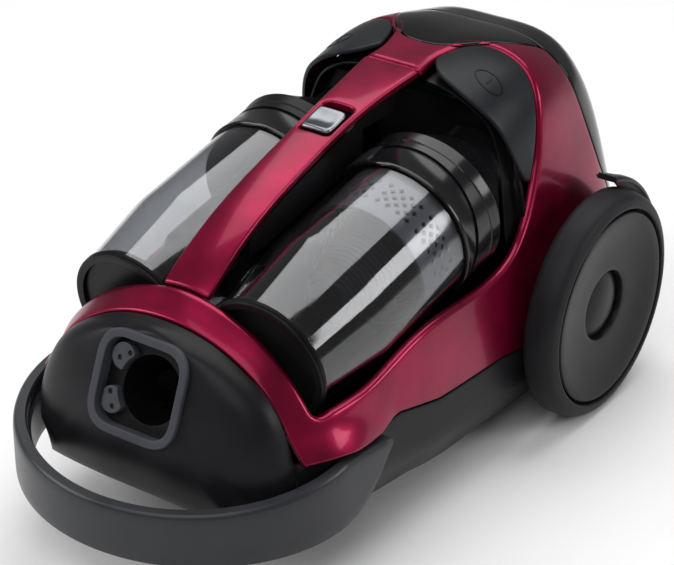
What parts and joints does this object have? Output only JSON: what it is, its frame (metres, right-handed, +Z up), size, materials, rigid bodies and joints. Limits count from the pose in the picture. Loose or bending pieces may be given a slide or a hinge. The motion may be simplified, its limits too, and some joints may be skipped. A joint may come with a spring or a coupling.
{
  "type": "canister vacuum cleaner",
  "caption": "Bagless canister vacuum cleaner with twin clear dust cups, bow handle, large rear wheels, foot pedals and a front hose inlet.",
  "frame": {"origin": "centre of the footprint box, on the floor", "axes": "+Z up, front (hose inlet) towards -Y, X = 0 is the plane of symmetry of the body"},
  "size_m": [0.2812, 0.4838, 0.2505],
  "materials": {
    "red_gloss": "high-gloss lacquer over moulded ABS",
    "charcoal": "fine-textured moulded ABS",
    "handle_grey": "satin moulded polypropylene",
    "mid_grey": "satin moulded ABS",
    "black_gloss": "polished black ABS",
    "black_satin": "satin black ABS",
    "pedal_grey": "satin moulded ABS",
    "smoke_clear": "smoky clear moulded polycarbonate",
    "light_clear": "clear moulded polycarbonate",
    "silver_mesh": "silver painted perforated sleeve",
    "chrome_button": "satin chrome plating on ABS",
    "wheel_grey": "satin moulded polypropylene",
    "tyre_rubber": "soft moulded thermoplastic rubber",
    "steel": "turned and zinc-plated steel",
    "brass_pin": "turned brass",
    "motor_shell": "moulded glass-filled polyamide",
    "cast_fan": "pressed and riveted aluminium",
    "filter_foam": "open-cell foam",
    "filter_paper": "pleated glass-fibre paper",
    "board_green": "solder-masked circuit board"
  },
  "bodies": {
    "body": {"upper_frame": "red_gloss", "base_chassis": "charcoal", "screws": "steel", "nose_panel": "charcoal", "inlet_frame": "mid_grey", "contact_sockets": "mid_grey", "contact_pins": "brass_pin", "inlet_duct": "black_satin", "dust_channel": "black_satin", "front_handle": "handle_grey", "rear_cover": "black_gloss", "exhaust_filter": "filter_paper", "cord_outlet": "black_satin", "top_panel": "black_gloss", "control_board": "board_green", "bay_deck": "black_satin", "bulkhead": "black_satin", "motor_front": "motor_shell", "motor_rear": "motor_shell", "motor_stator": "steel", "motor_mounts": "tyre_rubber", "pre_motor_filter": "filter_foam", "reel_shaft": "steel", "reel_spring": "steel", "reel_brackets": "steel", "filter_housings": "black_satin", "wheel_guards": "charcoal", "wheel_axles": "steel", "pedal_seats": "black_satin", "pedal_spring_left": "steel", "pedal_spring_right": "steel"},
    "wheel_right": {"wheel_disc_right": "wheel_grey", "tyre_right": "tyre_rubber", "hub_cap_right": "wheel_grey"},
    "wheel_left": {"wheel_disc_left": "wheel_grey", "tyre_left": "tyre_rubber", "hub_cap_left": "wheel_grey"},
    "caster_swivel": {"caster_fork": "wheel_grey", "caster_axle": "steel"},
    "caster_roller": {"caster_wheel": "wheel_grey", "caster_tyre": "tyre_rubber"},
    "dust_bin": {"bin_cup_right": "smoke_clear", "bin_cup_left": "light_clear", "bin_caps": "smoke_clear", "bin_collars": "black_satin", "bin_lids": "black_satin", "bin_grille": "silver_mesh", "cyclone_cone": "black_satin", "cyclone_throat": "black_satin", "second_cyclone": "black_satin", "bin_spine": "red_gloss", "bin_bridge": "black_satin", "latch_spring": "steel"},
    "latch": {"latch_button": "chrome_button"},
    "power_pedal": {"pedal_right": "pedal_grey"},
    "rewind_pedal": {"pedal_left": "pedal_grey"},
    "motor_shaft": {"motor_rotor": "steel", "impeller": "cast_fan"},
    "cord_reel": {"reel_drum": "black_satin"},
    "exhaust_cover": {"exhaust_grille": "black_satin"}
  },
  "joints": [
    {"name": "wheel_right_spin", "type": "hinge", "parent": "body", "child": "wheel_right", "pos_m": [0.128, 0.14, 0.08], "axis": [1, 0, 0], "continuous": true},
    {"name": "wheel_left_spin", "type": "hinge", "parent": "body", "child": "wheel_left", "pos_m": [-0.128, 0.14, 0.08], "axis": [1, 0, 0], "continuous": true},
    {"name": "caster_turn", "type": "hinge", "parent": "body", "child": "caster_swivel", "pos_m": [0, -0.11, 0.034], "axis": [0, 0, 1], "continuous": true},
    {"name": "caster_roll", "type": "hinge", "parent": "caster_swivel", "child": "caster_roller", "pos_m": [0, -0.094, 0.016], "axis": [1, 0, 0], "continuous": true},
    {"name": "bin_lift", "type": "slide", "parent": "body", "child": "dust_bin", "axis": [0, 0, 1], "range_m": [0, 0.12]},
    {"name": "latch_press", "type": "slide", "parent": "dust_bin", "child": "latch", "axis": [0, 0, -1], "range_m": [0, 0.003], "stiffness_N_per_m": 600, "deforming": ["latch_spring"]},
    {"name": "power_press", "type": "slide", "parent": "body", "child": "power_pedal", "axis": [0, 0, -1], "range_m": [0, 0.004], "stiffness_N_per_m": 1200, "deforming": ["pedal_spring_right"]},
    {"name": "rewind_press", "type": "slide", "parent": "body", "child": "rewind_pedal", "axis": [0, 0, -1], "range_m": [0, 0.004], "stiffness_N_per_m": 1200, "deforming": ["pedal_spring_left"]},
    {"name": "motor_spin", "type": "hinge", "parent": "body", "child": "motor_shaft", "pos_m": [-0.036, 0.16, 0.112], "axis": [0, 1, 0], "continuous": true},
    {"name": "reel_spin", "type": "hinge", "parent": "body", "child": "cord_reel", "pos_m": [0.045, 0.158, 0.122], "axis": [1, 0, 0], "continuous": true},
    {"name": "exhaust_pull", "type": "slide", "parent": "body", "child": "exhaust_cover", "axis": [0, 1, 0], "range_m": [0, 0.04]}
  ]
}
